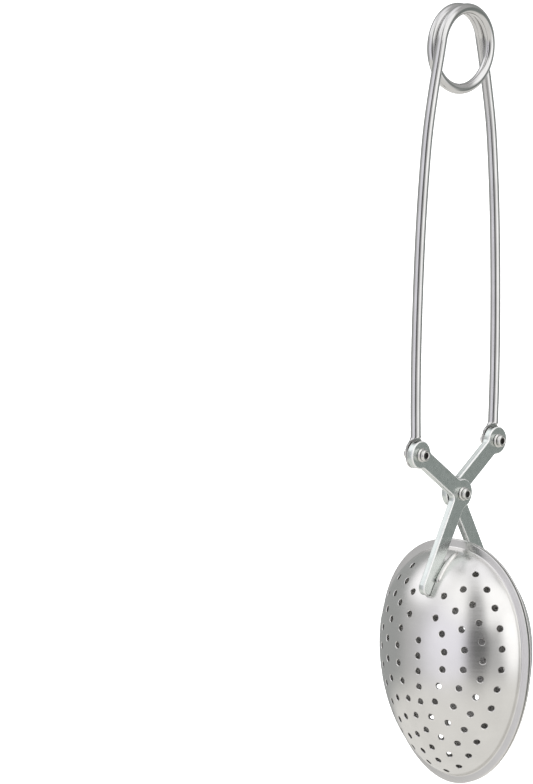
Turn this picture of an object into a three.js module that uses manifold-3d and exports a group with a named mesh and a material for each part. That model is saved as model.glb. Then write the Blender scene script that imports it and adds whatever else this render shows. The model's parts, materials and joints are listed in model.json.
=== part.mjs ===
// Squeeze-handled tea infuser: a sprung wire handle, two crank levers and a perforated egg in two halves.
// Millimetres, +Z up. The origin is the centre of the hanging coil. The pivots' axes lie along Y, the front
// is -Y, the left jaw is on -X, and the two egg halves meet at the plane X = 0.
import * as THREE from 'three';
import { mergeVertices } from 'three/addons/utils/BufferGeometryUtils.js';
import Module from 'manifold-3d';

const wasm = await Module();
wasm.setup();

const DEG = Math.PI / 180;

// Wire handle
const WIRE_R = 1.2;
const WIRE_SIDES = 10;
const COIL_R = 9.1;
const COIL_LEAVE = 13 * DEG;        // how far above the horizontal each leg leaves the coil
const COIL_Y = 1.9;                 // each leg leaves the coil this far in front of or behind the middle
const COIL_STEPS = 40;
const LEG_GAP = 0.3;
const LEG_POINTS = [                // |X| and Z down one leg, below the coil
  [11.3, -9.3],
  [12.8, -18],
  [13.8, -28.5],
  [14.55, -41],
  [15.0, -57],
  [15.05, -72],
  [14.75, -84],
];
const LEG_STEPS = 26;

// Pivots
const RIVET_X = 14.4;
const RIVET_Z = -91.2;
const PIVOT_Z = -101.7;

// Stack along Y: the left lever is in front of the right one, and each wire end is behind its lever
const LEVER_IN = 0.15;
const LEVER_THICK = 1.7;
const LEVER_OUT = LEVER_IN + LEVER_THICK;
const PADDLE_GAP = 0.2;
const PADDLE_THICK = 1.0;
const LEVER_FRONT = { left: -LEVER_OUT, right: LEVER_IN };
const PADDLE_FRONT = { left: PADDLE_GAP - LEVER_IN, right: LEVER_OUT + PADDLE_GAP };
const SIDE = { left: -1, right: 1 };

// Paddle: the flattened end of the wire
const PADDLE_HALF_WIDTH = 2.7;
const PADDLE_HALF_HEIGHT = 3.2;
const SHOULDER_CLEARANCE = 0.45;    // from the lever's eye to the shoulder where the wire is still round

// Crank levers
const EYE_R = 3.2;
const HUB_R = 3.35;
const ARM_WIDTH = 4.1;
const TIP = [-11.4, -122.1];        // centre of the rounded end of the left lower arm
const TIP_WIDTH = 3.7;

// Rivets
const PIN_R = 1.1;
const PIN_CLEARANCE = 0.08;
const OPEN_PIVOT_CLEARANCE = 0.5;   // around the pivot pin, in the back lever only
const HEAD_GAP = 0.08;
const HEAD_R = 1.6;
const HEAD_END_R = 1.15;
const HEAD_HEIGHT = 1.45;
const DIMPLE_R = 0.6;
const DIMPLE_DEPTH = 0.7;
const ROUND_SIDES = 20;

// Egg halves
const SHEET = 0.5;
const RIM_GAP = 0.15;               // from the meeting plane to each rim
const RIM_WIDTH = 1.9;
const EGG_TOP = -112.5;
const EGG_WIDEST = -137.6;
const EGG_BOTTOM = -169.6;
const EGG_HALF_WIDTH = 22.4;        // outside the rim
const TOP_FULLNESS = 2.15;          // exponent of the outline above its widest line
const BOTTOM_FULLNESS = 1.95;       // and below it
const DOME_DEPTH = 14.15;
const DOME_POWER = 1.24;            // of the dome's section: 1 is an ellipse, more is leaner at the rim
const DOME_R = EGG_HALF_WIDTH - RIM_WIDTH;
const DOME_RINGS = 8;
const DOME_SIDES = 36;

// Brewing holes: a centre column, then rings that stand off from the column by their own distance
const HOLE_R = 0.73;
const HOLE_SIDES = 5;
const COLUMN_HOLES = 5;
const COLUMN_PITCH = 3.6;
const COLUMN_UP = 3.6;              // from the egg's widest line to the top hole of the column
const COLUMN_DOWN = (COLUMN_HOLES - 1) * COLUMN_PITCH - COLUMN_UP;
const HOLE_RINGS = [                // each ring leaves out the places that the lever's slot takes
  { reach: 6.9, places: 16, leftOut: 1, fullness: 1.27 },
  { reach: 11.3, places: 20, leftOut: 1, fullness: 1.45 },
  { reach: 14.7, places: 26, leftOut: 3, fullness: 1.6 },
  { reach: 17.7, places: 28, leftOut: 3, fullness: 1.65 },
];
const PATTERN_Y = LEVER_FRONT.left + LEVER_THICK / 2;   // the holes are laid out about the lever's middle plane
const SLOT_CLEARANCE = 0.25;

const steel = (color, roughness) =>
  new THREE.MeshStandardMaterial({ color, roughness, metalness: 1 });

function toSolid(geometry) {
  const plain = geometry.clone();
  plain.deleteAttribute('normal');
  plain.deleteAttribute('uv');
  const merged = mergeVertices(plain, 1e-4);
  return new wasm.Manifold(new wasm.Mesh({
    numProp: 3,
    vertProperties: new Float32Array(merged.attributes.position.array),
    triVerts: new Uint32Array(merged.index.array),
  }));
}

function toGeometry(solid) {
  const mesh = solid.getMesh();
  const geometry = new THREE.BufferGeometry();
  geometry.setAttribute('position', new THREE.BufferAttribute(mesh.vertProperties, 3));
  geometry.setIndex(new THREE.BufferAttribute(mesh.triVerts, 1));
  geometry.computeVertexNormals();
  return geometry;
}

// A disc whose axis lies along Y, between two heights of Y.
function disc(x, z, radius, yLow, yHigh, sides = ROUND_SIDES) {
  const geometry = new THREE.CylinderGeometry(radius, radius, yHigh - yLow, sides);
  geometry.translate(x, (yLow + yHigh) / 2, z);
  return geometry;
}

// A straight bar of a plate, from one point in XZ to another, between two heights of Y.
function bar(from, to, startWidth, endWidth, yLow, yHigh) {
  const along = new THREE.Vector2(to[0] - from[0], to[1] - from[1]).normalize();
  const across = new THREE.Vector2(-along.y, along.x);
  const corner = (point, offset) =>
    new THREE.Vector2(point[0] + across.x * offset, point[1] + across.y * offset);
  const outline = new THREE.Shape([
    corner(from, -startWidth / 2),
    corner(to, -endWidth / 2),
    corner(to, endWidth / 2),
    corner(from, startWidth / 2),
  ]);
  const geometry = new THREE.ExtrudeGeometry(outline, { depth: yHigh - yLow, bevelEnabled: false });
  geometry.rotateX(Math.PI / 2);
  geometry.translate(0, yHigh, 0);
  return geometry;
}

function circleShape(radius, sides) {
  const points = [];
  for (let i = 0; i < sides; i += 1) {
    const angle = (2 * Math.PI * i) / sides;
    points.push(new THREE.Vector2(radius * Math.cos(angle), radius * Math.sin(angle)));
  }
  return new THREE.Shape(points);
}

function wire(path, steps) {
  return new THREE.ExtrudeGeometry(circleShape(WIRE_R, WIRE_SIDES), {
    steps,
    bevelEnabled: false,
    extrudePath: path,
  });
}

// The coil runs clockwise, seen from the front, from the left leg in front to the right leg behind.
class CoilPath extends THREE.Curve {
  getPoint(t, target = new THREE.Vector3()) {
    const turn = 3 * Math.PI - 2 * COIL_LEAVE;
    const angle = Math.PI - COIL_LEAVE - turn * t;
    return target.set(COIL_R * Math.cos(angle), COIL_Y * (2 * t - 1), COIL_R * Math.sin(angle));
  }
}

// The wire's back is level with the paddle's back, so the paddle is the wire hammered from the front.
function legPath(side) {
  const outward = SIDE[side];
  const startY = outward * COIL_Y;
  const endY = PADDLE_FRONT[side] + PADDLE_THICK - WIRE_R;
  const topX = COIL_R * Math.cos(COIL_LEAVE);
  const topZ = COIL_R * Math.sin(COIL_LEAVE);
  const yAt = (z) => startY + (endY - startY) * ((topZ - z) / (topZ - RIVET_Z));
  const down = new THREE.Vector3(outward * Math.sin(COIL_LEAVE), 0, -Math.cos(COIL_LEAVE));
  const top = new THREE.Vector3(outward * topX, startY, topZ).addScaledVector(down, LEG_GAP);
  const points = [top, top.clone().addScaledVector(down, 3)];
  LEG_POINTS.forEach(([x, z]) => points.push(new THREE.Vector3(outward * x, yAt(z), z)));
  points.push(new THREE.Vector3(outward * RIVET_X, endY, RIVET_Z + PADDLE_HALF_HEIGHT / 2));
  return new THREE.CatmullRomCurve3(points, false, 'centripetal');
}

function wireLeg(side) {
  const x = SIDE[side] * RIVET_X;
  const front = PADDLE_FRONT[side];
  const paddle = disc(0, 0, 1, front, front + PADDLE_THICK);
  paddle.scale(PADDLE_HALF_WIDTH, 1, PADDLE_HALF_HEIGHT);
  paddle.translate(x, 0, RIVET_Z);
  const roomForEye = disc(x, RIVET_Z, EYE_R + SHOULDER_CLEARANCE, front - 4, front);
  const hole = disc(x, RIVET_Z, PIN_R + PIN_CLEARANCE, front - 1, front + PADDLE_THICK + 1);
  return toSolid(wire(legPath(side), LEG_STEPS))
    .subtract(toSolid(roomForEye))
    .add(toSolid(paddle))
    .subtract(toSolid(hole));
}

function leverPlate(pivotClearance) {
  const eye = [-RIVET_X, RIVET_Z];
  const hub = [0, PIVOT_Z];
  const yLow = -LEVER_OUT;
  const yHigh = -LEVER_IN;
  const pieces = [
    disc(eye[0], eye[1], EYE_R, yLow, yHigh),
    disc(hub[0], hub[1], HUB_R, yLow, yHigh),
    disc(TIP[0], TIP[1], TIP_WIDTH / 2, yLow, yHigh),
    bar(eye, hub, ARM_WIDTH, ARM_WIDTH, yLow, yHigh),
    bar(hub, TIP, ARM_WIDTH, TIP_WIDTH, yLow, yHigh),
  ];
  const body = wasm.Manifold.union(pieces.map(toSolid));
  const eyeHole = disc(eye[0], eye[1], PIN_R + PIN_CLEARANCE, yLow - 1, yHigh + 1);
  const hubHole = disc(hub[0], hub[1], PIN_R + pivotClearance, yLow - 1, yHigh + 1);
  return body.subtract(toSolid(eyeHole)).subtract(toSolid(hubHole));
}

// A rivet along Y: a pin between two heads, each with a dimple in its end.
function rivet(x, z, yLow, yHigh) {
  const half = (yHigh - yLow) / 2 + HEAD_GAP;
  const end = half + HEAD_HEIGHT;
  const points = [
    [0, -end + DIMPLE_DEPTH],
    [DIMPLE_R, -end + 0.2],
    [DIMPLE_R + 0.15, -end],
    [HEAD_END_R, -end + 0.1],
    [HEAD_R, -end + 0.8],
    [HEAD_R, -half],
    [PIN_R, -half],
    [PIN_R, half],
    [HEAD_R, half],
    [HEAD_R, end - 0.8],
    [HEAD_END_R, end - 0.1],
    [DIMPLE_R + 0.15, end],
    [DIMPLE_R, end - 0.2],
    [0, end - DIMPLE_DEPTH],
  ].map(([radius, height]) => new THREE.Vector2(radius, height));
  const geometry = new THREE.LatheGeometry(points, ROUND_SIDES);
  geometry.translate(x, (yLow + yHigh) / 2, z);
  return geometry;
}

// An egg outline, as a distance from its middle in the direction of an angle from straight up.
function eggReach(angle, halfWidth, above, below, lowerFullness) {
  const up = Math.cos(angle);
  const side = Math.abs(Math.sin(angle));
  const height = up > 0 ? above : below;
  const power = up > 0 ? TOP_FULLNESS : lowerFullness;
  return ((side / halfWidth) ** power + (Math.abs(up) / height) ** power) ** (-1 / power);
}

const domeReach = (angle) =>
  eggReach(angle, EGG_HALF_WIDTH, EGG_TOP - EGG_WIDEST, EGG_WIDEST - EGG_BOTTOM, BOTTOM_FULLNESS) - RIM_WIDTH;

// A point of the left dome's outer face: how far out from its pole (0 to 1), and the angle from straight up.
function domePoint(out, angle) {
  const reach = domeReach(angle) * out;
  return new THREE.Vector3(
    -(RIM_GAP + SHEET + (DOME_DEPTH - SHEET) * Math.max(0, 1 - out * out) ** (DOME_POWER / 2)),
    reach * Math.sin(angle),
    EGG_WIDEST + reach * Math.cos(angle),
  );
}

function domeNormal(out, angle) {
  const step = 1e-3;
  const alongOut = domePoint(out + step, angle).sub(domePoint(out - step, angle));
  const alongAngle = domePoint(out, angle + step).sub(domePoint(out, angle - step));
  const normal = alongOut.cross(alongAngle).normalize();
  return normal.x > 0 ? normal.negate() : normal;
}

const domeRise = (lean) => (DOME_DEPTH - SHEET) * Math.max(0, Math.cos(lean)) ** DOME_POWER;

// The sheet as a lathed bowl with a flat rim, drawn out from a circle to the egg's outline.
function shellSheet() {
  const profile = [];
  for (let i = 0; i <= DOME_RINGS; i += 1) {
    const lean = (Math.PI / 2) * (i / DOME_RINGS);
    profile.push([DOME_R * Math.sin(lean), RIM_GAP + SHEET + domeRise(lean)]);
  }
  profile.push([DOME_R + RIM_WIDTH, RIM_GAP + SHEET]);
  profile.push([DOME_R + RIM_WIDTH, RIM_GAP]);
  for (let i = DOME_RINGS; i >= 0; i -= 1) {
    const lean = (Math.PI / 2) * (i / DOME_RINGS);
    profile.push([(DOME_R - SHEET) * Math.sin(lean), RIM_GAP + domeRise(lean)]);
  }
  const points = profile.reverse().map(([radius, height]) => new THREE.Vector2(radius, height));
  const geometry = new THREE.LatheGeometry(points, DOME_SIDES);
  const position = geometry.attributes.position;
  for (let i = 0; i < position.count; i += 1) {
    const across = position.getX(i);
    const upward = position.getZ(i);
    const radius = Math.hypot(across, upward);
    const angle = Math.atan2(across, upward);
    const domePart = Math.min(radius, DOME_R) * (domeReach(angle) / DOME_R);
    const reach = domePart + Math.max(0, radius - DOME_R);
    position.setXYZ(i, -position.getY(i), reach * Math.sin(angle), EGG_WIDEST + reach * Math.cos(angle));
  }
  return geometry;
}

// One ring's holes at equal steps along its outline, from the bottom round, without those at the slot.
function placeOnDome(across, up) {
  const angle = Math.atan2(across + PATTERN_Y, up);
  return [Math.hypot(across + PATTERN_Y, up) / domeReach(angle), angle];
}

function ringPlaces({ reach, places, leftOut, fullness }) {
  const samples = 720;
  const outline = [];
  for (let i = 0; i <= samples; i += 1) {
    const angle = Math.PI + (2 * Math.PI * i) / samples;
    outline.push({ angle, reach: eggReach(angle, reach, reach + COLUMN_UP, reach + COLUMN_DOWN, fullness) });
  }
  const lengths = [0];
  for (let i = 1; i <= samples; i += 1) {
    const turn = outline[i].angle - outline[i - 1].angle;
    const step = Math.hypot(outline[i].reach - outline[i - 1].reach, outline[i].reach * turn);
    lengths.push(lengths[i - 1] + step);
  }
  const found = [];
  for (let place = 0; place < places; place += 1) {
    const index = lengths.findIndex((length) => length >= (lengths[samples] * place) / places - 1e-9);
    if (Math.abs(place - places / 2) > leftOut / 2) {
      const { angle, reach: far } = outline[index];
      found.push(placeOnDome(far * Math.sin(angle), far * Math.cos(angle)));
    }
  }
  return found;
}

function holePlaces() {
  const found = [];
  for (let i = 0; i < COLUMN_HOLES; i += 1) {
    found.push(placeOnDome(0, COLUMN_UP - i * COLUMN_PITCH));
  }
  HOLE_RINGS.forEach((ring) => found.push(...ringPlaces(ring)));
  return found;
}

function leftShell() {
  const drills = holePlaces().map(([out, angle]) => {
    const drill = new THREE.CylinderGeometry(HOLE_R, HOLE_R, 4 * SHEET, HOLE_SIDES);
    const turn = new THREE.Quaternion().setFromUnitVectors(new THREE.Vector3(0, 1, 0), domeNormal(out, angle));
    drill.applyQuaternion(turn);
    const centre = domePoint(out, angle);
    drill.translate(centre.x, centre.y, centre.z);
    return toSolid(drill);
  });
  const yLow = -LEVER_OUT - SLOT_CLEARANCE;
  const yHigh = -LEVER_IN + SLOT_CLEARANCE;
  const grow = 2 * SLOT_CLEARANCE;
  const slot = wasm.Manifold.union([
    toSolid(bar([0, PIVOT_Z], TIP, ARM_WIDTH + grow, TIP_WIDTH + grow, yLow, yHigh)),
    toSolid(disc(TIP[0], TIP[1], TIP_WIDTH / 2 + SLOT_CLEARANCE, yLow, yHigh)),
  ]);
  return toSolid(shellSheet()).subtract(wasm.Manifold.union(drills)).subtract(slot);
}

const infuser = new THREE.Group();

function addPart(parent, name, geometry, material) {
  const mesh = new THREE.Mesh(geometry, material);
  mesh.name = name;
  parent.add(mesh);
}

addPart(infuser, 'handle_coil', wire(new CoilPath(), COIL_STEPS), steel(0xc9c8c4, 0.16));

Object.entries(SIDE).forEach(([side, outward]) => {
  const rivetFrom = LEVER_FRONT[side];
  const rivetTo = PADDLE_FRONT[side] + PADDLE_THICK;
  const sideRivet = rivet(outward * RIVET_X, RIVET_Z, rivetFrom, rivetTo);
  addPart(infuser, `handle_leg_${side}`, toGeometry(wireLeg(side)), steel(0xc9c8c4, 0.16));
  addPart(infuser, `lever_rivet_${side}`, sideRivet, steel(0xd4d2cc, 0.2));
});

// The right lever and shell are the left ones turned half a turn about Z.
const leftJaw = new THREE.Group();
const rightJaw = new THREE.Group();
rightJaw.rotation.z = Math.PI;
infuser.add(leftJaw, rightJaw);

const shell = toGeometry(leftShell());
addPart(leftJaw, 'lever_left', toGeometry(leverPlate(PIN_CLEARANCE)), steel(0x8f9a94, 0.34));
addPart(rightJaw, 'lever_right', toGeometry(leverPlate(OPEN_PIVOT_CLEARANCE)), steel(0x8f9a94, 0.34));
addPart(leftJaw, 'shell_left', shell, steel(0xbdbab4, 0.3));
addPart(rightJaw, 'shell_right', shell, steel(0xbdbab4, 0.3));

addPart(infuser, 'pivot_rivet', rivet(0, PIVOT_Z, -LEVER_OUT, LEVER_OUT), steel(0xd4d2cc, 0.2));

export default infuser;
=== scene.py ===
"""A squeeze-handled tea infuser: a sprung wire handle, two crank levers and a perforated egg in two halves.

The right jaw is the left one turned half a turn about Z, so its pieces are made as left ones and turned. The
left lever is in front of the right one, and the end of each wire leg is behind its own lever. Outlines are
worked in millimetres, and meshes are in metres.
"""

import json
import math

import bmesh
import bpy
import numpy as np
from mathutils import Matrix, Vector


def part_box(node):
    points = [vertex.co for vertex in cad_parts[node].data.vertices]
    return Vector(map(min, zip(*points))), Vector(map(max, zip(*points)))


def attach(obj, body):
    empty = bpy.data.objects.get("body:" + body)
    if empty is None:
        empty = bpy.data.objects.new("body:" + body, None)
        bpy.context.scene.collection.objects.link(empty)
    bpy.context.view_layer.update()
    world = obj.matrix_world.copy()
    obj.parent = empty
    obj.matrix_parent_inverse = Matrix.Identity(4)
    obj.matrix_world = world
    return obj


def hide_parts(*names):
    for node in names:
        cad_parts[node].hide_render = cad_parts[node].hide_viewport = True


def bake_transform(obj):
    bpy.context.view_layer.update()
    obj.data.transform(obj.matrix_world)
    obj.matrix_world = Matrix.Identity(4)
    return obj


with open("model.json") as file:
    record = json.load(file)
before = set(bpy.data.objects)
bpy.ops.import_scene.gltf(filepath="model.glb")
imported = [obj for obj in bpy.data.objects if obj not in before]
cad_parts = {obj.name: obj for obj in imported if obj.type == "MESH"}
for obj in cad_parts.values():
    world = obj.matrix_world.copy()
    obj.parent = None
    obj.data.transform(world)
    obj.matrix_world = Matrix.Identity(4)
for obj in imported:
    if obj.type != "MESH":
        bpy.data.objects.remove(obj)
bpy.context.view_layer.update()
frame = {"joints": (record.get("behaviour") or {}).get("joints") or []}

MM = 0.001
HALF_TURN = Matrix.Rotation(math.pi, 4, "Z")


# ---------------------------------------------------------------- sizes, in millimetres

def joint_place(name):
    """A hinge's place in millimetres."""
    joint = next(j for j in frame["joints"] if j["name"] == name)
    return Vector(joint["pos_m"]) / MM


def box_mm(node):
    """The low and high corner of a node's box in millimetres."""
    low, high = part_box(node)
    return low / MM, high / MM


SIDE = {"left": -1, "right": 1}
EYES = {side: joint_place(f"{side}_jaw_swing") for side in SIDE}
EYE = EYES["left"]
PIVOT = sum(box_mm("pivot_rivet"), Vector()) / 2
LEVER_FRONT = {side: box_mm(f"lever_{side}")[0].y for side in SIDE}
LEVER_BACK = {side: box_mm(f"lever_{side}")[1].y for side in SIDE}
EGG_LOW, EGG_HIGH = box_mm("shell_left")

WIRE_R = 1.2
COIL_R = 9.1
COIL_LEAVE = math.radians(13)   # how far above the coil's level middle line each leg leaves it
COIL_Y = 1.9                    # how far in front of the middle, or behind it, each leg leaves it
LEG_POINTS = [  # outward, height
    (11.3, -9.3), (12.8, -18.0), (13.8, -28.5), (14.55, -41.0),
    (15.0, -57.0), (15.05, -72.0), (14.75, -84.0),
]

PADDLE_GAP = 0.2
PADDLE_THICK = 1.0
PADDLE_HALF_WIDTH = 2.7
PADDLE_HALF_HEIGHT = 3.2
PADDLE_OVAL = 2.4               # the exponent of its outline: 2 is a plain oval, more is squarer
PADDLE_SHOULDER = 1.6           # how much higher the wire starts to widen than a plain oval would
PADDLE_LEAD = 6                 # how far above its rivet the wire starts to run straight into the paddle
PADDLE_HOLE_CLEARANCE = 0.02
WIDEN_FROM = PADDLE_HALF_HEIGHT + 1.4
WIDEN_OVER = 2.2
SQUARE_FROM = 3.4
SQUARE_OVER = 1.6
ROUND_SECTION = 2.0             # the exponent of the round wire's section
SQUARING = 2.6                  # what the paddle's section adds to it
SHOULDER_CLEARANCE = 0.45
SHOULDER_FADE = 0.35            # over how far the flattening stops beyond the lever's eye
PADDLE_FRONT = {side: LEVER_BACK[side] + PADDLE_GAP for side in SIDE}

EYE_R = 3.2
HUB_R = 3.35
ARM_HALF_WIDTH = 2.05
TIP = Vector((-11.4, -122.1))
TIP_HALF_WIDTH = 1.85
HUB_UPPER_FILLET = 1.6
HUB_LOWER_FILLET = 3.0
EYE_FILLET = 1.4
INNER_FILLET = 1.3
EDGE_ROUNDING = 0.3

PIN_R = 1.1
PIN_CLEARANCE = 0.08
OPEN_PIVOT_CLEARANCE = 0.5
HEAD_GAP = 0.08
HEAD_R = 1.6
GROOVE_R = 1.16
BARREL_R = 1.34
HEAD_HEIGHT = 1.45
HEAD_HOLE_R = 0.66
PAINTED_SHADE_R = 0.75                  # painted shade, near black, sits inside this radius in the end holes
PAINTED_SHADE_DEPTH = 0.05
GROOVE_DEPTH = 0.5              # below the head's end

SHEET = 0.5
RIM_GAP = 0.15
RIM_WIDTH = 1.9
EGG_HALF_WIDTH = EGG_HIGH.y
EGG_WIDEST = -137.6
ABOVE = EGG_HIGH.z - EGG_WIDEST
BELOW = EGG_WIDEST - EGG_LOW.z
TOP_FULLNESS = 2.15
BOTTOM_FULLNESS = 1.95
DOME_DEPTH = 14.15
DOME_POWER = 1.24  # of the dome's section: 1 is an ellipse, more is leaner at the rim
DOME_END = math.pi / 2 * 0.985  # the lean at which the dome gives way to the crease
CREASE_R = 0.3
RIM_ROUNDING = 0.14

HOLE_R = 0.75
HOLE_FLARE = 0.12
COLUMN_HOLES = 5
COLUMN_PITCH = 3.6
COLUMN_UP = 3.6
COLUMN_DOWN = (COLUMN_HOLES - 1) * COLUMN_PITCH - COLUMN_UP
HOLE_RINGS = [  # reach, places, places left out at the slot, fullness of the lower part
    (6.9, 16, 1, 1.27),
    (11.3, 20, 1, 1.45),
    (14.7, 26, 3, 1.6),
    (17.7, 28, 3, 1.65),
]

SLOT_CLEARANCE = 0.12
LIP_R = 0.62
LIP_TOP = -114.9
LIP_BOTTOM = -121.2
LIP_SINK = 0.08


# ---------------------------------------------------------------- finishes

class Value:
    """A shader socket that can be used in sums: each operation adds its Math node."""

    def __init__(self, finish, socket):
        self.finish = finish
        self.socket = socket

    def math(self, operation, *terms):
        return self.finish.add("ShaderNodeMath", {"operation": operation}, dict(enumerate(terms)))

    def __add__(self, other):
        return self.math("ADD", self, other)

    def __sub__(self, other):
        return self.math("SUBTRACT", self, other)

    def __rsub__(self, other):
        return self.math("SUBTRACT", other, self)

    def __mul__(self, other):
        return self.math("MULTIPLY", self, other)

    def __truediv__(self, other):
        return self.math("DIVIDE", self, other)

    __radd__ = __add__

    def root(self):
        return self.math("SQRT", self)

    def clamped(self):
        return self.math("MINIMUM", self.math("MAXIMUM", self, 0.0), 1.0)


class Finish:
    """A node tree, of a material or of the world, with one method that adds any node."""

    def __init__(self, tree):
        self.tree = tree
        self.tree.nodes.clear()

    def add(self, kind, settings=None, sockets=None, output=0):
        node = self.tree.nodes.new(kind)
        for name, setting in (settings or {}).items():
            setattr(node, name, setting)
        for name, term in (sockets or {}).items():
            if isinstance(term, Value):
                self.tree.links.new(term.socket, node.inputs[name])
            else:
                node.inputs[name].default_value = term
        return Value(self, node.outputs[output]) if node.outputs else node

    def place(self):
        return self.add("ShaderNodeTexCoord", output="Object")

    def noise(self, vector, scale, detail=2.0, roughness=0.5):
        sockets = {"Vector": vector, "Scale": scale, "Detail": detail, "Roughness": roughness}
        return self.add("ShaderNodeTexNoise", None, sockets)

    def stretched(self, vector, scales):
        return self.add("ShaderNodeMapping", None, {"Vector": vector, "Scale": scales})

    def between(self, low, high, factor):
        """A colour part of the way from one to another."""
        sockets = {"Factor": factor, "A": low, "B": high}
        return self.add("ShaderNodeMix", {"data_type": "RGBA"}, sockets, output="Result")


def metal(name, colour, colour_dark, roughness, streaks, streak_share, relief, patches=140.0, marks=None):
    """A stainless finish. streaks scales the Object coordinates so that the brushing runs its own way.

    marks is the name of the piece's own attribute that says where shade or a highlight is painted, and the
    painted colour, the added roughness and the share of metal there."""
    material = bpy.data.materials.new(name)
    material.use_nodes = True
    finish = Finish(material.node_tree)
    place = finish.place()
    streak = finish.noise(finish.stretched(place, streaks), 1.0, detail=3.0, roughness=0.6)
    patch = finish.noise(place, patches, detail=3.0)
    fine = finish.noise(place, 2600.0, detail=1.0)
    wear = (patch - 0.35) * 2.2
    tone = finish.between(colour_dark, colour, (wear.clamped() + (streak - 0.5) * 0.6).clamped())
    rough = roughness + (streak - 0.5) * streak_share + (0.5 - patch) * 0.08 + (fine - 0.5) * 0.03
    bump = finish.add("ShaderNodeBump", None, {
        "Strength": 0.35,
        "Distance": relief,
        "Height": streak + fine * 0.35,
    })
    surface = {"Base Color": tone, "Metallic": 1.0, "Roughness": rough.clamped(), "Normal": bump}
    if marks:
        attribute, painted_colour, rougher, metal_share = marks
        # painted shade or painted highlight, read from the piece's own attribute: near black in the rivets'
        # hollows, near white along the levers' edges
        marked = finish.add("ShaderNodeAttribute", {"attribute_name": attribute}, output="Fac")
        surface["Base Color"] = finish.between(tone, painted_colour, marked)
        surface["Roughness"] = (rough + marked * rougher).clamped()
        if metal_share < 1:
            surface["Metallic"] = 1 - marked * (1 - metal_share)
    shaded = finish.add("ShaderNodeBsdfPrincipled", None, surface)
    finish.add("ShaderNodeOutputMaterial", None, {"Surface": shaded})
    return material


WIRE_FINISH = metal(
    "polished_spring_wire", (0.72, 0.715, 0.71, 1), (0.62, 0.615, 0.61, 1),
    roughness=0.13, streaks=(2600, 2600, 160), streak_share=0.10, relief=0.000004)
# The lever's marks are a painted highlight: a near-white colour along its rounded edges.
LEVER_FINISH = metal(
    "satin_lever_plate", (0.74, 0.775, 0.755, 1), (0.66, 0.70, 0.68, 1),
    roughness=0.26, streaks=(900, 900, 900), streak_share=0.10, relief=0.000003, patches=420.0,
    marks=("edge_highlight", (0.97, 0.97, 0.96, 1), 0.3, 1.0))
EGG_FINISH = metal(
    "brushed_egg_sheet", (0.80, 0.79, 0.775, 1), (0.74, 0.73, 0.715, 1),
    roughness=0.24, streaks=(90, 90, 2800), streak_share=0.12, relief=0.000005)
# The rivet's marks are painted shade: a near-black colour in its end holes and in the groove under each
# flange.
RIVET_FINISH = metal(
    "turned_rivet", (0.83, 0.82, 0.80, 1), (0.68, 0.67, 0.65, 1),
    roughness=0.13, streaks=(1800, 1800, 1800), streak_share=0.12, relief=0.000004, patches=900.0,
    marks=("hollow_shade", (0.035, 0.033, 0.03, 1), 0.4, 0.3))
SEAM_FINISH = metal(
    "brazed_seam", (0.78, 0.77, 0.75, 1), (0.66, 0.65, 0.63, 1),
    roughness=0.14, streaks=(1500, 1500, 1500), streak_share=0.16, relief=0.000006, patches=700.0)


# ---------------------------------------------------------------- mesh helpers

def piece_from(name, vertices, faces, finish):
    """A smooth-shaded object from points in millimetres."""
    mesh = bpy.data.meshes.new(name)
    mesh.from_pydata([Vector(v) * MM for v in vertices], [], faces)
    mesh.materials.append(finish)
    mesh.shade_smooth()
    piece = bpy.data.objects.new(name, mesh)
    bpy.context.scene.collection.objects.link(piece)
    return piece


def sew(rows, caps=True):
    """Points and faces of a tube made of equal rings of points, with its two ends filled in or left open."""
    count = len(rows[0])
    faces = []
    for r in range(len(rows) - 1):
        for i in range(count):
            j = (i + 1) % count
            faces.append((r * count + i, r * count + j, (r + 1) * count + j, (r + 1) * count + i))
    if caps:
        faces.append(tuple(range(count))[::-1])
        faces.append(tuple((len(rows) - 1) * count + i for i in range(count)))
    return [point for row in rows for point in row], faces


def face_outwards(piece):
    mesh = bmesh.new()
    mesh.from_mesh(piece.data)
    bmesh.ops.remove_doubles(mesh, verts=mesh.verts, dist=1e-8)
    bmesh.ops.recalc_face_normals(mesh, faces=mesh.faces)
    mesh.to_mesh(piece.data)
    mesh.free()


def turned_copy(piece, name):
    """The right-hand piece: the left one turned half a turn about Z."""
    copy = piece.copy()
    copy.data = piece.data.copy()
    copy.name = copy.data.name = name
    copy.data.transform(HALF_TURN)
    bpy.context.scene.collection.objects.link(copy)
    return copy


def lathe_y(name, profile, centre, finish, sides=64):
    """A turned piece whose axis lies along Y. profile is radius and Y, from one pole to the other."""
    rows = []
    for radius, along in profile:
        ring = []
        for i in range(sides):
            angle = 2 * math.pi * i / sides
            ring.append(Vector((
                centre.x + max(radius, 1e-5) * math.cos(angle),
                along,
                centre.z + max(radius, 1e-5) * math.sin(angle))))
        rows.append(ring)
    piece = piece_from(name, *sew(rows), finish)
    face_outwards(piece)
    return piece


# ---------------------------------------------------------------- geometry nodes

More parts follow.
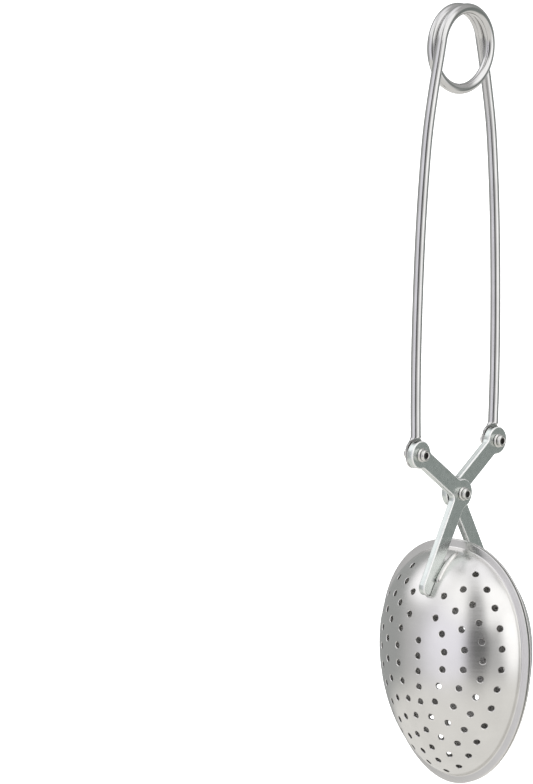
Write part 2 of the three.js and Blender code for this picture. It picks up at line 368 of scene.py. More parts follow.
class Shaping:
    """A Geometry Nodes tree, with methods that add its nodes.

    In the name of a socket, an underscore stands for a space."""

    def __init__(self, name, inputs, result):
        self.tree = bpy.data.node_groups.new(name, "GeometryNodeTree")
        self.tree.is_modifier = True
        self.result = result
        for title, kind in inputs.items():
            self.tree.interface.new_socket(title, in_out="INPUT", socket_type=f"NodeSocket{kind}")
        self.tree.interface.new_socket(result, in_out="OUTPUT", socket_type="NodeSocketGeometry")
        self.given = self.node("NodeGroupInput").outputs

    def feed(self, socket, term):
        """Sets a socket, or links one or more others to it."""
        for source in term if isinstance(term, list) else [term]:
            if isinstance(source, bpy.types.NodeSocket):
                self.tree.links.new(source, socket)
            else:
                socket.default_value = source

    def node(self, kind, settings=None, **terms):
        made = self.tree.nodes.new(kind)
        for name, setting in (settings or {}).items():
            setattr(made, name, setting)
        for name, term in terms.items():
            self.feed(made.inputs[name.replace("_", " ")], term)
        return made

    def maths(self, operation, a, b):
        made = self.node("ShaderNodeMath", {"operation": operation})
        self.feed(made.inputs[0], a)
        self.feed(made.inputs[1], b)
        return made.outputs[0]

    def finished(self, mesh):
        """The tree, with a mesh in the given finish as its result."""
        plain = self.node("GeometryNodeRealizeInstances", Geometry=mesh)
        dressed = self.node(
            "GeometryNodeSetMaterial", Geometry=plain.outputs["Geometry"], Material=self.given["Finish"])
        self.node("NodeGroupOutput", **{self.result: dressed.outputs["Geometry"]})
        return self.tree


def give_inputs(modifier, **values):
    """Sets a tree's named inputs by the identifiers of their sockets."""
    for item in modifier.node_group.interface.items_tree:
        if item.in_out == "INPUT" and item.name.replace(" ", "_") in values:
            modifier[item.identifier] = values[item.name.replace(" ", "_")]


# ---------------------------------------------------------------- wire handle

def smooth(t):
    t = min(max(t, 0.0), 1.0)
    return t * t * (3 - 2 * t)


def coil_points(side, steps=150):
    """Half of the coil, from the middle of its turns to where this side's leg leaves it."""
    turn = 3 * math.pi - 2 * COIL_LEAVE
    points = []
    for i in range(steps + 1):
        t = 0.5 + 0.5 * SIDE[side] * i / steps
        angle = math.pi - COIL_LEAVE - turn * t
        across, up = COIL_R * math.cos(angle), COIL_R * math.sin(angle)
        points.append(Vector((across, COIL_Y * (2 * t - 1), up)))
    return points


def leg_points(side, steps=190):
    """A leg's line through its bend points, from the coil down to the level of its rivet."""
    outward = SIDE[side]
    eye = EYES[side]
    end_y = PADDLE_FRONT[side] + PADDLE_THICK - WIRE_R
    top = Vector((outward * COIL_R * math.cos(COIL_LEAVE), outward * COIL_Y, COIL_R * math.sin(COIL_LEAVE)))
    down = Vector((outward * math.sin(COIL_LEAVE), 0, -math.cos(COIL_LEAVE)))

    def depth(z):
        return top.y + (end_y - top.y) * (top.z - z) / (top.z - eye.z)

    knots = [top - down, top, top + down * 3.3]
    knots += [Vector((outward * x, depth(z), z)) for x, z in LEG_POINTS]
    knots += [Vector((eye.x, end_y, eye.z + above)) for above in (1.6, 0.0, -3.0)]
    places = [0.0]
    for a, b in zip(knots, knots[1:]):
        places.append(places[-1] + (b - a).length ** 0.5)
    first, last = places[1], places[-2]
    points = []
    for i in range(1, steps + 1):
        t = first + (last - first) * i / steps
        k = max(1, min(len(knots) - 3, sum(1 for place in places if place <= t) - 1))
        points.append(catmull(knots[k - 1:k + 3], places[k - 1:k + 3], t))
    return points


def catmull(p, t, at):
    """A point of the Catmull-Rom curve through four knots at their own parameter values."""
    def mix(a, b, ta, tb):
        return a * ((tb - at) / (tb - ta)) + b * ((at - ta) / (tb - ta))

    low = [mix(p[i], p[i + 1], t[i], t[i + 1]) for i in range(3)]
    mid = [mix(low[i], low[i + 1], t[i], t[i + 2]) for i in range(2)]
    return mix(mid[0], mid[1], t[1], t[2])


def wire_section(above):
    """Half width and squareness of the wire at a height above its rivet: round, and then a flat paddle."""
    reach = PADDLE_HALF_HEIGHT + PADDLE_SHOULDER if above > 0 else PADDLE_HALF_HEIGHT
    oval = PADDLE_HALF_WIDTH * max(0.0, 1 - abs(above / reach) ** PADDLE_OVAL) ** (1 / PADDLE_OVAL)
    widened = smooth((WIDEN_FROM - above) / WIDEN_OVER)
    squared = smooth((SQUARE_FROM - above) / SQUARE_OVER)
    return WIRE_R + (oval - WIRE_R) * widened, ROUND_SECTION + SQUARING * squared


def pressed(point, side):
    """Where a point of the round wire goes when its end is hammered flat in front, at the lever's eye."""
    eye, front = EYES[side], PADDLE_FRONT[side]
    reach = math.hypot(point.x - eye.x, point.z - eye.z)
    share = smooth((EYE_R + SHOULDER_CLEARANCE + SHOULDER_FADE - reach) / SHOULDER_FADE)
    if point.y < front:
        point.y += (front - point.y) * share
    return point


def wire(side, sides=48):
    """The wire from the middle of the coil down one leg, with its end flattened behind the lever."""
    eye = EYES[side]
    line = coil_points(side) + leg_points(side)
    line = [point for point in line if point.z > eye.z + PADDLE_LEAD]
    end_y = PADDLE_FRONT[side] + PADDLE_THICK - WIRE_R
    start = line[-1]
    lead_steps, end_steps = 48, 26
    for i in range(1, lead_steps + 1):
        z = start.z + (eye.z - start.z) * i / lead_steps
        x = start.x + (eye.x - start.x) * smooth(i / lead_steps)
        line.append(Vector((x, start.y + (end_y - start.y) * i / lead_steps, z)))
    for i in range(1, end_steps + 1):
        drop = PADDLE_HALF_HEIGHT * math.sin(math.pi / 2 * min(i / end_steps, 0.995))
        line.append(Vector((eye.x, end_y, eye.z - drop)))
    rows = []
    for i, point in enumerate(line):
        forward = (line[min(i + 1, len(line) - 1)] - line[max(i - 1, 0)]).normalized()
        depth = (Vector((0, 1, 0)) - forward * forward.y).normalized()
        across_way = depth.cross(forward)
        width, square = wire_section(point.z - eye.z)
        ring = []
        for k in range(sides):
            angle = 2 * math.pi * k / sides
            c, s = math.cos(angle), math.sin(angle)
            across = math.copysign(abs(c) ** (2 / square), c) * width
            deep = math.copysign(abs(s) ** (2 / square), s) * WIRE_R
            ring.append(pressed(point + across_way * across + depth * deep, side))
        rows.append(ring)
    piece = piece_from(f"wire_{side}", *sew(rows), WIRE_FINISH)
    face_outwards(piece)
    front, back = PADDLE_FRONT[side] - 1, PADDLE_FRONT[side] + PADDLE_THICK + 1
    drill_through(piece, eye, PIN_R + PADDLE_HOLE_CLEARANCE, front, back)
    sharpen(piece, degrees=42)
    return piece


def drill_through(piece, centre, radius, front, back, sides=48):
    """Cuts a round hole along Y."""
    profile = [(0.0, front), (radius, front), (radius, back), (0.0, back)]
    cutter = lathe_y("cutter", profile, centre, WIRE_FINISH, sides)
    cut = piece.modifiers.new("hole", "BOOLEAN")
    cut.operation = "DIFFERENCE"
    cut.solver = "EXACT"
    cut.object = cutter
    settle(piece)
    bpy.data.objects.remove(cutter)


def settle(piece):
    """Turns a piece's modifiers into its plain mesh."""
    graph = bpy.context.evaluated_depsgraph_get()
    mesh = bpy.data.meshes.new_from_object(piece.evaluated_get(graph))
    piece.modifiers.clear()
    piece.data = mesh


def sharpen(piece, degrees):
    """Smooth shading, except over edges that turn by more than the angle."""
    piece.data.shade_smooth()
    piece.data.set_sharp_from_angle(angle=math.radians(degrees))


# ---------------------------------------------------------------- crank levers

def arc(centre, start, end, anticlockwise, step_degrees=7):
    """Points round a centre from one point to another, both included."""
    a = math.atan2(start.y - centre.y, start.x - centre.x)
    b = math.atan2(end.y - centre.y, end.x - centre.x)
    turn = (b - a) % (2 * math.pi) if anticlockwise else -((a - b) % (2 * math.pi))
    steps = max(2, round(abs(math.degrees(turn)) / step_degrees))
    radius = (start - centre).length
    found = []
    for i in range(steps + 1):
        angle = a + turn * i / steps
        found.append(centre + Vector((math.cos(angle), math.sin(angle))) * radius)
    return found


def boss_fillet(boss, radius, on_line, away, outward, fillet):
    """A concave fillet between a round boss and a straight edge: its centre, and where it meets each."""
    offset = (on_line - boss).dot(outward)
    along = math.sqrt((radius + fillet) ** 2 - (offset + fillet) ** 2)
    centre = boss + outward * (offset + fillet) + away * along
    on_boss = boss + (centre - boss) * (radius / (radius + fillet))
    return centre, on_boss, centre - outward * fillet


def corner_fillet(point_a, outward_a, point_b, outward_b, fillet):
    """A concave fillet between two straight edges: its centre, and where it meets each."""
    lines = Matrix((outward_a, outward_b))
    reach = Vector((point_a.dot(outward_a) + fillet, point_b.dot(outward_b) + fillet))
    centre = lines.inverted() @ reach
    return centre, centre - outward_a * fillet, centre - outward_b * fillet


def lever_outline(grow=0.0):
    """The left lever's outline in X and Z, anticlockwise from the front."""
    eye = Vector((EYE.x, EYE.z))
    hub = Vector((PIVOT.x, PIVOT.z))
    half = ARM_HALF_WIDTH + grow
    tip_half = TIP_HALF_WIDTH + grow
    up = (eye - hub).normalized()
    up_over = Vector((up.y, -up.x))
    down = (TIP - hub).normalized()
    down_over = Vector((-down.y, down.x))
    taper = math.atan((half - tip_half) / (TIP - hub).length)
    right_way = (down * math.cos(taper) - down_over * math.sin(taper)).normalized()
    right_out = Vector((-right_way.y, right_way.x))
    left_way = (down * math.cos(taper) + down_over * math.sin(taper)).normalized()
    left_out = Vector((left_way.y, -left_way.x))
    right_point = hub + right_out * half
    left_point = hub + left_out * half

    hub_upper = boss_fillet(hub, HUB_R + grow, hub + up_over * half, up, up_over, HUB_UPPER_FILLET - grow)
    eye_upper = boss_fillet(eye, EYE_R + grow, hub + up_over * half, -up, up_over, EYE_FILLET - grow)
    eye_lower = boss_fillet(eye, EYE_R + grow, hub - up_over * half, -up, -up_over, EYE_FILLET - grow)
    inner = corner_fillet(hub - up_over * half, -up_over, left_point, left_out, INNER_FILLET - grow)
    hub_lower = boss_fillet(hub, HUB_R + grow, right_point, right_way, right_out, HUB_LOWER_FILLET - grow)
    tip_left = TIP + left_out * tip_half
    tip_right = TIP + right_out * tip_half

    points = []
    points += arc(hub_upper[0], hub_upper[1], hub_upper[2], False)
    points += arc(eye_upper[0], eye_upper[2], eye_upper[1], False)
    points += arc(eye, eye_upper[1], eye_lower[1], True)[1:-1]
    points += arc(eye_lower[0], eye_lower[1], eye_lower[2], False)
    points += arc(inner[0], inner[1], inner[2], False)
    points += arc(TIP, tip_left, tip_right, True)
    points += arc(hub_lower[0], hub_lower[2], hub_lower[1], False)
    points += arc(hub, hub_lower[1], hub_upper[1], True)[1:-1]
    return points


def circle(centre, radius, sides=48):
    """A round outline, anticlockwise."""
    found = []
    for i in range(sides):
        angle = 2 * math.pi * i / sides
        found.append(centre + Vector((math.cos(angle), math.sin(angle))) * radius)
    return found


def inset(outline, distance):
    """An anticlockwise outline moved inwards."""
    moved = []
    for i, here in enumerate(outline):
        before = (here - outline[i - 1]).normalized()
        after = (outline[(i + 1) % len(outline)] - here).normalized()
        inward = Vector((-(before.y + after.y), before.x + after.x)).normalized()
        share = max(0.5, inward.dot(Vector((-before.y, before.x))))
        moved.append(here + inward * (distance / share))
    return moved


def plate(name, outline, holes, front, back, rounding, finish, steps=4):
    """A flat plate across Y with rounded edges, which carry a painted highlight. The holes are outlines too.
    """
    mesh = bmesh.new()
    edge_highlight = mesh.verts.layers.float.new("edge_highlight")
    levels = []
    for i in range(steps + 1):
        angle = math.pi / 2 * i / steps
        levels.append((rounding * (1 - math.sin(angle)), front + rounding * (1 - math.cos(angle))))
    levels += [(drawn_in, front + back - y) for drawn_in, y in reversed(levels)]
    face_edges = {0: [], len(levels) - 1: []}
    for loop, sign in [(outline, 1)] + [(hole, -1) for hole in holes]:
        rows = []
        for drawn_in, y in levels:
            points = inset(loop, sign * drawn_in) if drawn_in > 1e-9 else loop
            rows.append([mesh.verts.new(Vector((p.x, y, p.y)) * MM) for p in points])
            for vertex in rows[-1]:
                # the rounded edges, and nothing else, get the painted highlight
                vertex[edge_highlight] = 1.0 if 1e-9 < drawn_in < rounding - 1e-9 else 0.0
        count = len(loop)
        for r in range(len(rows) - 1):
            for i in range(count):
                j = (i + 1) % count
                mesh.faces.new((rows[r][i], rows[r][j], rows[r + 1][j], rows[r + 1][i]))
        for level in face_edges:
            ring = rows[level]
            face_edges[level] += [mesh.edges.get((ring[i], ring[(i + 1) % count])) for i in range(count)]
    for edges in face_edges.values():
        bmesh.ops.triangle_fill(mesh, edges=edges, use_beauty=True)
        for edge in edges:
            edge.smooth = False
    bmesh.ops.recalc_face_normals(mesh, faces=mesh.faces)
    data = bpy.data.meshes.new(name)
    mesh.to_mesh(data)
    mesh.free()
    data.materials.append(finish)
    data.shade_smooth()
    data.update()
    piece = bpy.data.objects.new(name, data)
    bpy.context.scene.collection.objects.link(piece)
    return piece


def lever(name, pivot_clearance):
    """A left lever. The hole at the pivot is wider on the one that the pivot rivet isn't fixed to."""
    eye = Vector((EYE.x, EYE.z))
    hub = Vector((PIVOT.x, PIVOT.z))
    holes = [circle(eye, PIN_R + PIN_CLEARANCE), circle(hub, PIN_R + pivot_clearance)]
    return plate(
        name, lever_outline(), holes, LEVER_FRONT["left"], LEVER_BACK["left"], EDGE_ROUNDING, LEVER_FINISH)


# ---------------------------------------------------------------- rivets

def rivet(name, centre, low, high):
    """A pin along Y between two headed-over ends: a flange, a groove and a rolled end with a hole in it."""
    def head(face, way):
        end = face + way * HEAD_HEIGHT
        return [
            (PIN_R, face), (HEAD_R - 0.12, face),
            (HEAD_R, face + way * 0.10), (HEAD_R, face + way * 0.28),
            (HEAD_R - 0.10, face + way * 0.40), (HEAD_R - 0.30, face + way * 0.45),
            (GROOVE_R, face + way * 0.50), (GROOVE_R, face + way * 0.62),
            (BARREL_R - 0.06, face + way * 0.68), (BARREL_R, face + way * 0.78),
            (BARREL_R, end - way * 0.30), (BARREL_R - 0.08, end - way * 0.12),
            (BARREL_R - 0.22, end - way * 0.02), (BARREL_R - 0.36, end),
            (HEAD_HOLE_R + 0.14, end - way * 0.03), (HEAD_HOLE_R + 0.06, end - way * 0.10),
            (HEAD_HOLE_R + 0.02, end - way * 0.22), (HEAD_HOLE_R, end - way * 0.68),
            (HEAD_HOLE_R - 0.10, end - way * 0.78), (0.0, end - way * 0.80),
        ]

    profile = head(low, -1)[::-1] + head(high, 1)
    piece = lathe_y(name, profile, centre, RIVET_FINISH)
    sharpen(piece, degrees=50)
    ends = (low - HEAD_HEIGHT, high + HEAD_HEIGHT)
    # painted shade: near black in the end holes and in the groove under each flange, where shade falls
    hollow_shade = piece.data.attributes.new("hollow_shade", "FLOAT", "POINT")
    for vertex, mark in zip(piece.data.vertices, hollow_shade.data):
        at = vertex.co / MM
        reach = math.hypot(at.x - centre.x, at.z - centre.z)
        sunk = min(abs(at.y - end) for end in ends)
        in_hole = reach < PAINTED_SHADE_R and sunk > PAINTED_SHADE_DEPTH
        in_groove = sunk > GROOVE_DEPTH and PIN_R + 0.01 < reach < GROOVE_R + 0.01
        mark.value = 1.0 if in_hole or in_groove else 0.0
    return piece


# ---------------------------------------------------------------- egg halves

def egg_reach(angle, half_width, above, below, lower_fullness):
    """How far an egg's outline is from its widest level, in the direction of an angle from straight up."""
    up, side = math.cos(angle), abs(math.sin(angle))
    height, power = (above, TOP_FULLNESS) if up > 0 else (below, lower_fullness)
    return ((side / half_width) ** power + (abs(up) / height) ** power) ** (-1 / power)


def dome_reach(angle):
    """How far the dome reaches to the rim's crease."""
    return egg_reach(angle, EGG_HALF_WIDTH, ABOVE, BELOW, BOTTOM_FULLNESS) - RIM_WIDTH


def dome_rise(lean):
    """How far the dome's section has risen off the rim, at a lean from its pole."""
    return (DOME_DEPTH - SHEET) * max(0.0, math.cos(lean)) ** DOME_POWER


def dome_point(out, angle):
    """A point of the left dome's outer face, from its pole (out 0) to the rim's crease (out 1)."""
    reach = dome_reach(angle) * out
    depth = RIM_GAP + SHEET + dome_rise(math.asin(min(1.0, abs(out))))
    return Vector((-depth, reach * math.sin(angle), EGG_WIDEST + reach * math.cos(angle)))


def dome_normal(out, angle):
    """The outward normal there, from four points close by."""
    step = 1e-3
    along = dome_point(out + step, angle) - dome_point(out - step, angle)
    around = dome_point(out, angle + step) - dome_point(out, angle - step)
    normal = along.cross(around).normalized()
    return -normal if normal.x > 0 else normal


def dome_under(point):
    """The outer dome's point and outward normal at a point's Y and Z."""
    across, upward = point.y, point.z - EGG_WIDEST
    angle = math.atan2(across, upward)
    out = math.hypot(across, upward) / dome_reach(angle)
    return dome_point(min(out, 0.999), angle), dome_normal(min(max(out, 0.002), 0.995), angle)


def sheet_profile():
    """The sheet's section, from the pole over the outside to the rim and back inside.

    Its rows are (share of the dome's reach, distance past it, height off the halves' meeting plane)."""
    outside = RIM_GAP + SHEET
    inside = RIM_GAP
    rows = []
    dome_steps, crease_steps, rim_steps = 56, 6, 4
    for i in range(dome_steps + 1):
        lean = DOME_END * (i / dome_steps)
        rows.append((math.sin(lean), 0.0, outside + dome_rise(lean)))
    share, past, height = rows[-1]
    rows[-1] = (share, past, max(height, outside + CREASE_R))
    for i in range(1, crease_steps + 1):
        turn = math.pi / 2 * i / crease_steps
        rows.append((1.0, CREASE_R * (1 - math.cos(turn)), outside + CREASE_R * (1 - math.sin(turn))))
    rows.append((1.0, RIM_WIDTH - RIM_ROUNDING, outside))
    for i in range(1, rim_steps + 1):
        turn = math.pi / 2 * i / rim_steps
        drawn_in, drop = RIM_ROUNDING * (1 - math.sin(turn)), RIM_ROUNDING * (1 - math.cos(turn))
        rows.append((1.0, RIM_WIDTH - drawn_in, outside - drop))
    for i in range(rim_steps + 1):
        turn = math.pi / 2 * i / rim_steps
        drawn_in, rise = RIM_ROUNDING * (1 - math.cos(turn)), RIM_ROUNDING * (1 - math.sin(turn))
        rows.append((1.0, RIM_WIDTH - drawn_in, inside + rise))
    rows.append((1.0, 0.35, inside))
    rows.append((1.0, 0.0, inside + 0.02))
    rows.append((1.0, -0.3, inside + 0.16))
    rows.append((1.0, -SHEET, inside + CREASE_R))
    for i in range(dome_steps - 1, -1, -1):
        lean = DOME_END * (i / dome_steps)
        rows.append((math.sin(lean), -SHEET * math.sin(lean), inside + dome_rise(lean)))
    return rows


def egg_sheet(sides=224):
    """The left half's plain sheet, dome and flat rim, before any hole is cut."""
    rows = []
    for share, past, height in sheet_profile():
        row = []
        for i in range(sides):
            angle = 2 * math.pi * i / sides
            reach = max(dome_reach(angle) * share + past, 0.0)
            row.append(Vector((-height, reach * math.sin(angle), EGG_WIDEST + reach * math.cos(angle))))
        rows.append(row)
    piece = piece_from("egg_half_left", *sew(rows, caps=False), EGG_FINISH)
    face_outwards(piece)
    return piece


def place_on_dome(across, up):
    """A hole's place as (share of the dome's reach, angle), in a pattern about the lever's middle plane."""
    middle = (LEVER_FRONT["left"] + LEVER_BACK["left"]) / 2
    angle = math.atan2(across + middle, up)
    return math.hypot(across + middle, up) / dome_reach(angle), angle


def ring_places(reach, places, left_out, fullness):
    """One ring's holes at equal steps along its outline, from the bottom round, but none at the slot."""
    samples = 720
    angles = [math.pi + 2 * math.pi * i / samples for i in range(samples + 1)]
    above, below = reach + COLUMN_UP, reach + COLUMN_DOWN
    reaches = [egg_reach(angle, reach, above, below, fullness) for angle in angles]
    lengths = [0.0]
    for i in range(1, samples + 1):
        step = math.hypot(reaches[i] - reaches[i - 1], reaches[i] * 2 * math.pi / samples)
        lengths.append(lengths[-1] + step)
    found = []
    for place in range(places):
        if abs(place - places / 2) > left_out / 2:
            index = int(np.searchsorted(lengths, lengths[-1] * place / places))
            far, angle = reaches[index], angles[index]
            found.append(place_on_dome(far * math.sin(angle), far * math.cos(angle)))
    return found


def hole_places():
    """Every brewing hole: the middle column, and the rings round it."""
    found = []
    for i in range(COLUMN_HOLES):
        found.append(place_on_dome(0.0, COLUMN_UP - i * COLUMN_PITCH))
    for ring in HOLE_RINGS:
        found += ring_places(*ring)
    return found


def perforation_tree():
    """Geometry Nodes that cut a flared hole through a sheet at every place, and a slot."""
    shaping = Shaping("perforated_sheet", {
        "Sheet": "Geometry", "Places": "Object", "Slot": "Object", "Hole radius": "Float", "Flare": "Float",
        "Depth": "Float", "Finish": "Material",
    }, "Sheet")
    given, node, maths = shaping.given, shaping.node, shaping.maths
    lead_depth = maths("MULTIPLY", given["Flare"], 2.0)
    shank = node("GeometryNodeMeshCylinder", Vertices=28, Radius=given["Hole radius"], Depth=given["Depth"])
    lead = node(
        "GeometryNodeMeshCone", Vertices=28, Radius_Top=maths("ADD", given["Hole radius"], lead_depth),
        Radius_Bottom=given["Hole radius"], Depth=lead_depth)
    drop = node("ShaderNodeCombineXYZ", Z=maths("MULTIPLY", given["Flare"], -1.0))
    sunk = node("GeometryNodeTransform", Geometry=lead.outputs["Mesh"], Translation=drop.outputs[0])
    drill = node(
        "GeometryNodeMeshBoolean", {"operation": "UNION", "solver": "MANIFOLD"},
        Mesh_2=[shank.outputs["Mesh"], sunk.outputs["Geometry"]])
    places = node("GeometryNodeObjectInfo", Object=given["Places"])
    aim = node("GeometryNodeInputNamedAttribute", {"data_type": "FLOAT_VECTOR"}, Name="aim")
    turn = node("FunctionNodeAlignRotationToVector", {"axis": "Z"}, Vector=aim.outputs["Attribute"])
    drills = node(
        "GeometryNodeInstanceOnPoints", Points=places.outputs["Geometry"], Instance=drill.outputs["Mesh"],
        Rotation=turn.outputs["Rotation"])
    slot = node("GeometryNodeObjectInfo", Object=given["Slot"])
    cut = node(
        "GeometryNodeMeshBoolean", {"operation": "DIFFERENCE", "solver": "MANIFOLD"},
        Mesh_1=given["Sheet"], Mesh_2=[drills.outputs["Instances"], slot.outputs["Geometry"]])
    return shaping.finished(cut.outputs["Mesh"])


def places_object():
    """One point for each brewing hole, with the dome's outward normal as its aim."""
    points, normals = [], []
    for out, angle in hole_places():
        points.append(dome_point(out, angle) * MM)
        normals.append(dome_normal(out, angle))
    mesh = bpy.data.meshes.new("hole_places")
    mesh.from_pydata(points, [], [])
    aim = mesh.attributes.new("aim", "FLOAT_VECTOR", "POINT")
    aim.data.foreach_set("vector", np.array(normals, np.float32).ravel())
    holder = bpy.data.objects.new("hole_places", mesh)
    bpy.context.scene.collection.objects.link(holder)
    return holder


def dome_shading(piece):
    """Gives the dome's faces the exact normals of its shape, so that holes don't dent what it mirrors."""
    mesh = piece.data
    mesh.shade_smooth()
    mesh.set_sharp_from_angle(angle=math.radians(28))
    normals = np.zeros(len(mesh.loops) * 3, np.float32)
    mesh.corner_normals.foreach_get("vector", normals)
    normals = normals.reshape(-1, 3)
    exact = {}
    for vertex in mesh.vertices:
        place = vertex.co / MM
        if place.x < -(RIM_GAP + SHEET + CREASE_R * 1.6):
            exact[vertex.index] = dome_under(place)[1]
    for face in mesh.polygons:
        for corner in face.loop_indices:
            true = exact.get(mesh.loops[corner].vertex_index)
            if true is None:
                continue
            lean = face.normal.dot(true)
            if abs(lean) > 0.955:
                normals[corner] = true if lean > 0 else -true
    mesh.normals_split_custom_set([Vector(n) for n in normals.tolist()])


def egg_half():
    """The left half with its holes and the lever's slot cut."""
    sheet = egg_sheet()
    places = places_object()
    slot = plate(
        "slot_cutter", lever_outline(SLOT_CLEARANCE), [], LEVER_FRONT["left"] - SLOT_CLEARANCE,
        LEVER_BACK["left"] + SLOT_CLEARANCE, rounding=0.01, finish=EGG_FINISH, steps=1)
    cut = sheet.modifiers.new("perforation", "NODES")
    cut.node_group = perforation_tree()
    give_inputs(
        cut, Places=places, Slot=slot, Hole_radius=HOLE_R * MM, Flare=HOLE_FLARE * MM,
        Depth=4 * SHEET * MM, Finish=EGG_FINISH)
    settle(sheet)
    for helper in (places, slot):
        bpy.data.objects.remove(helper)
    dome_shading(sheet)
    return sheet


# ---------------------------------------------------------------- seams between egg and levers

def bead_tree():
    """Geometry Nodes that sweep a round bead along a path, thinner towards its ends."""
    shaping = Shaping("rolled_bead", {"Path": "Geometry", "Radius": "Float", "Finish": "Material"}, "Bead")
    given, node = shaping.given, shaping.node
    line = node("GeometryNodeMeshToCurve", Mesh=given["Path"])
    even = node("GeometryNodeResampleCurve", Curve=line.outputs["Curve"], Count=60)
    along = node("GeometryNodeSplineParameter")
    taper = node("ShaderNodeFloatCurve", Value=along.outputs["Factor"])
    curve = taper.mapping.curves[0]
    curve.points[0].location = (0.0, 0.12)
    curve.points[1].location = (1.0, 0.12)
    for place, share in ((0.06, 0.72), (0.2, 1.0), (0.85, 1.0), (0.96, 0.7)):
        curve.points.new(place, share)
    taper.mapping.update()
    section = node("GeometryNodeCurvePrimitiveCircle", Resolution=20, Radius=given["Radius"])
    sweep = node(
        "GeometryNodeCurveToMesh", Curve=even.outputs["Curve"], Profile_Curve=section.outputs["Curve"],
        Scale=taper.outputs["Value"], Fill_Caps=True)
    return shaping.finished(sweep.outputs["Mesh"])


def bead(name, path, radius, tree):
    """A rolled bead along a path."""
    mesh = bpy.data.meshes.new(name)
    mesh.from_pydata([point * MM for point in path], [(i, i + 1) for i in range(len(path) - 1)], [])
    piece = bpy.data.objects.new(name, mesh)
    bpy.context.scene.collection.objects.link(piece)
    sweep = piece.modifiers.new("bead", "NODES")
    sweep.node_group = tree
    give_inputs(sweep, Radius=radius * MM, Finish=SEAM_FINISH)
    settle(piece)
    face_outwards(piece)
    piece.data.shade_smooth()
    return piece


def seam_path(y, steps=24):
    """A line down the dome beside the slot."""
    path = []
    for i in range(steps + 1):
        z = LIP_TOP + (LIP_BOTTOM - LIP_TOP) * i / steps
        point, normal = dome_under(Vector((0, y, z)))
        path.append(point - normal * LIP_SINK)
    return path


# ---------------------------------------------------------------- make and mount the pieces

def mount(piece, body, slot, *nodes):
    """Lets a piece ride on a body in place of the nodes it stands for. The slot is not used."""
    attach(piece, body)
    if nodes:
        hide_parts(*nodes)


for side, outward in SIDE.items():
    leg = wire(side)
    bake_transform(leg)
    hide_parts(f"handle_leg_{side}", "handle_coil")
    pin = rivet(f"rivet_{side}", EYES[side], LEVER_FRONT[side] - HEAD_GAP,
                PADDLE_FRONT[side] + PADDLE_THICK + HEAD_GAP)
    mount(pin, f"{side}_leg", "rivet_steel", f"lever_rivet_{side}")

mount(lever("crank_lever_left", PIN_CLEARANCE), "left_jaw", "lever_steel", "lever_left")
right_lever = lever("crank_lever_right", OPEN_PIVOT_CLEARANCE)
right_lever.data.transform(HALF_TURN)
mount(right_lever, "right_jaw", "lever_steel", "lever_right")
pivot = rivet("rivet_pivot", PIVOT, LEVER_FRONT["left"] - HEAD_GAP, LEVER_BACK["right"] + HEAD_GAP)
mount(pivot, "left_jaw", "rivet_steel", "pivot_rivet")

left_half = egg_half()
right_half = turned_copy(left_half, "egg_half_right")
dome_normals_turned = [HALF_TURN.to_3x3() @ n.vector for n in left_half.data.corner_normals]
right_half.data.normals_split_custom_set(dome_normals_turned)
mount(left_half, "left_jaw", "shell_steel", "shell_left")
mount(right_half, "right_jaw", "shell_steel", "shell_right")

beads = bead_tree()
for place, y in (("front", LEVER_FRONT["left"] - LIP_R), ("back", LEVER_BACK["left"] + LIP_R)):
    left_lip = bead(f"slot_lip_{place}_left", seam_path(y), LIP_R, beads)
    mount(left_lip, "left_jaw", "shell_steel")
    mount(turned_copy(left_lip, f"slot_lip_{place}_right"), "right_jaw", "shell_steel")


# ---------------------------------------------------------------- floor, light and camera

CAMERA_AZIMUTH = math.radians(49)
CAMERA_ELEVATION = math.radians(8.5)
CAMERA_DISTANCE = 1.05      # metres
FOCAL_LENGTH = 210.7
AIM = Vector((0, 0, -0.085))
OFF_CENTRE = Vector((0.0417, -0.0058, -1)).normalized()   # where the aim lies in the camera's own axes
ROLL = 0.0098
FLOOR_HALF_SIZE = 14.0
FLOOR_HEIGHT = -0.26


def make_camera():
    """The camera. Returns the direction from its aim to it."""
    data = bpy.data.cameras.new("camera")
    data.lens = FOCAL_LENGTH
    data.sensor_width = 36
    data.clip_start = 0.05
    data.clip_end = 60
    camera = bpy.data.objects.new("camera", data)
    bpy.context.scene.collection.objects.link(camera)
    back = Vector((
        -math.sin(CAMERA_AZIMUTH) * math.cos(CAMERA_ELEVATION),
        -math.cos(CAMERA_AZIMUTH) * math.cos(CAMERA_ELEVATION),
        math.sin(CAMERA_ELEVATION)))
    looking = (-back).to_track_quat("-Z", "Y")
    pan = OFF_CENTRE.rotation_difference(Vector((0, 0, -1)))
    camera.rotation_mode = "QUATERNION"
    camera.location = AIM + back * CAMERA_DISTANCE
    camera.rotation_quaternion = looking @ pan @ Matrix.Rotation(ROLL, 3, "Z").to_quaternion()
    bpy.context.scene.camera = camera
    return back


def make_floor():
    """A wide pale floor that the metal doesn't mirror."""
    material = bpy.data.materials.new("pale_floor")
    material.use_nodes = True
    finish = Finish(material.node_tree)
    grain = finish.noise(finish.place(), 6.0)
    surface = finish.add("ShaderNodeBsdfPrincipled", None, {
        "Base Color": finish.between((0.93, 0.93, 0.93, 1), (0.95, 0.95, 0.95, 1), grain),
        "Roughness": 0.9,
        "Emission Color": (1, 1, 1, 1),
        "Emission Strength": 0.6,
    })
    finish.add("ShaderNodeOutputMaterial", None, {"Surface": surface})
    size, height = FLOOR_HALF_SIZE, FLOOR_HEIGHT
    corners = [(-size, -size, height), (size, -size, height), (size, size, height), (-size, size, height)]
    mesh = bpy.data.meshes.new("floor")
    mesh.from_pydata(corners, [], [(0, 1, 2, 3)])
    mesh.materials.append(material)
    floor = bpy.data.objects.new("floor", mesh)
    floor.visible_glossy = False
    bpy.context.scene.collection.objects.link(floor)


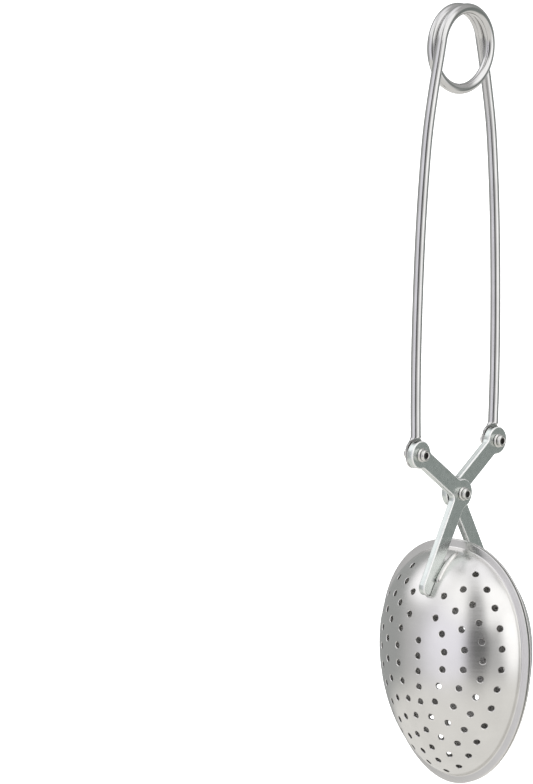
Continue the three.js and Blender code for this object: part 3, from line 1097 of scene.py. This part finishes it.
def make_studio(back):
    """A soft grey room for the metal to mirror, with brighter and darker patches, seen as plain white."""
    world = bpy.data.worlds.new("studio")
    world.use_nodes = True
    bpy.context.scene.world = world
    finish = Finish(world.node_tree)
    direction = finish.add("ShaderNodeTexCoord", output="Generated")
    level = Vector((back.x, back.y, 0)).normalized()
    right = Vector((-level.y, level.x, 0))

    def along(vector):
        sockets = {0: direction, 1: vector}
        return finish.add("ShaderNodeVectorMath", {"operation": "DOT_PRODUCT"}, sockets, output="Value")

    facing, side, up = along(level), along(right), along(Vector((0, 0, 1)))

    def soft_spot(centre, widths, softness):
        """1 inside an oval of directions, given by side and up, and 0 outside."""
        across = (side - centre[0]) / widths[0]
        above = (up - centre[1]) / widths[1]
        distance = (across * across + above * above).root()
        return ((1 + softness - distance) / softness).clamped()

    key = soft_spot((0.80, 0.22), (0.22, 0.42), 0.8) * (facing * 6 - 0.1).clamped()
    left_wall = soft_spot((-0.60, 0.05), (0.27, 0.44), 0.6) * (facing * 4).clamped()
    left_high = soft_spot((-0.70, 0.60), (0.28, 0.22), 0.6) * (1.2 - facing * 4).clamped()
    high_front = soft_spot((0.05, 0.62), (0.55, 0.26), 0.9) * (facing * 5).clamped()
    camera_side = soft_spot((-0.08, -0.04), (0.17, 0.24), 0.9) * (facing * 6).clamped()
    camera_arm = soft_spot((-0.13, 0.42), (0.14, 0.32), 0.9) * (facing * 6).clamped()
    overhead = ((up - 0.82) * 6).clamped()
    behind = ((-0.05 - facing - (up * 0.55).clamped()) * 4).clamped()
    below = ((-0.32 - up) * 9).clamped()
    far_right = ((side - 0.72) * 6).clamped() * ((0.32 - up) * 6).clamped()
    right_back = ((0.05 - facing) * 8).clamped() * far_right
    edge_light = soft_spot((0.59, -0.15), (0.06, 0.12), 0.5) * ((-0.6 - facing) * 8).clamped()
    seen = finish.add("ShaderNodeLightPath", output="Is Camera Ray")
    room = (0.54, 0.54, 0.54, 1)
    for mask, colour in [
        (left_wall, (0.99, 0.98, 1.05, 1)),
        (key, (1.35, 1.35, 1.35, 1)),
        (high_front, (1.30, 1.30, 1.30, 1)),
        (left_high, (1.35, 1.35, 1.38, 1)),
        (overhead, (1.15, 1.15, 1.18, 1)),
        (behind, (0.38, 0.392, 0.388, 1)),
        (below, (0.86, 0.85, 0.82, 1)),
        (camera_arm, (0.38, 0.38, 0.38, 1)),
        (camera_side, (0.12, 0.12, 0.12, 1)),
        (right_back, (0.25, 0.272, 0.26, 1)),
        (edge_light, (1.5, 1.5, 1.5, 1)),
        (seen, (1.0, 1.0, 1.0, 1)),
    ]:
        room = finish.between(room, colour, mask)
    light = finish.add("ShaderNodeBackground", None, {"Color": room, "Strength": 1.0})
    finish.add("ShaderNodeOutputWorld", None, {"Surface": light})


def make_lamp(name, place, target, size, power):
    """A square area lamp that the metal doesn't mirror."""
    data = bpy.data.lights.new(name, "AREA")
    data.shape = "SQUARE"
    data.size = size
    data.energy = power
    lamp = bpy.data.objects.new(name, data)
    lamp.location = place
    lamp.rotation_mode = "QUATERNION"
    lamp.rotation_quaternion = (Vector(target) - Vector(place)).to_track_quat("-Z", "Y")
    lamp.visible_glossy = False
    bpy.context.scene.collection.objects.link(lamp)


towards_camera = make_camera()
make_floor()
make_studio(towards_camera)
make_lamp("overhead", (0.3, 0.5, 2.4), (0, 0, FLOOR_HEIGHT), 2.4, 50)
bpy.context.scene.view_settings.view_transform = "Standard"
bpy.context.scene.view_settings.look = "None"
